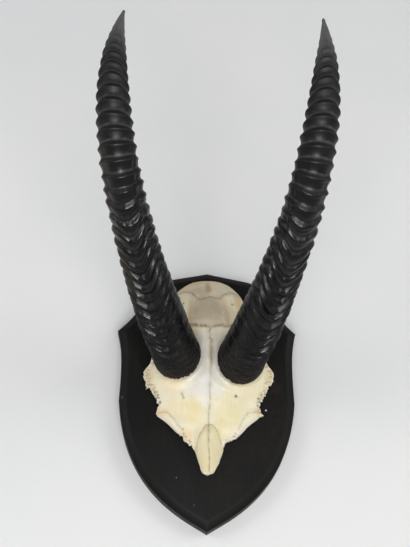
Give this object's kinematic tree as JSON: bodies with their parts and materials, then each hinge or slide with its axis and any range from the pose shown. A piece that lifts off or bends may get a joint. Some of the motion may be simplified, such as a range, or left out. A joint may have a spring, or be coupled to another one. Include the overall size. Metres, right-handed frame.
{
  "type": "antelope skull mount",
  "caption": "Antelope skull cap with long ringed horns that sweep back past the top of the black shield-shaped wooden board it is fixed to; the board's edge is chamfered.",
  "frame": {"origin": "The centre of the board's flat back: midway between its top and bottom points and on the line through them.", "axes": "+Z points out of the board's face towards the viewer, +Y runs up the board towards its top point and the horns' tips, +X points to the viewer's right. The board's back lies in the plane Z = 0."},
  "size_m": [0.2688, 0.5154, 0.403],
  "materials": {
    "shield": "satin",
    "skull_cap": "matte",
    "left_horn": "satin",
    "right_horn": "satin"
  },
  "bodies": {
    "root": {"shield": "shield", "skull_cap": "skull_cap", "left_horn": "left_horn", "right_horn": "right_horn"}
  },
  "joints": []
}
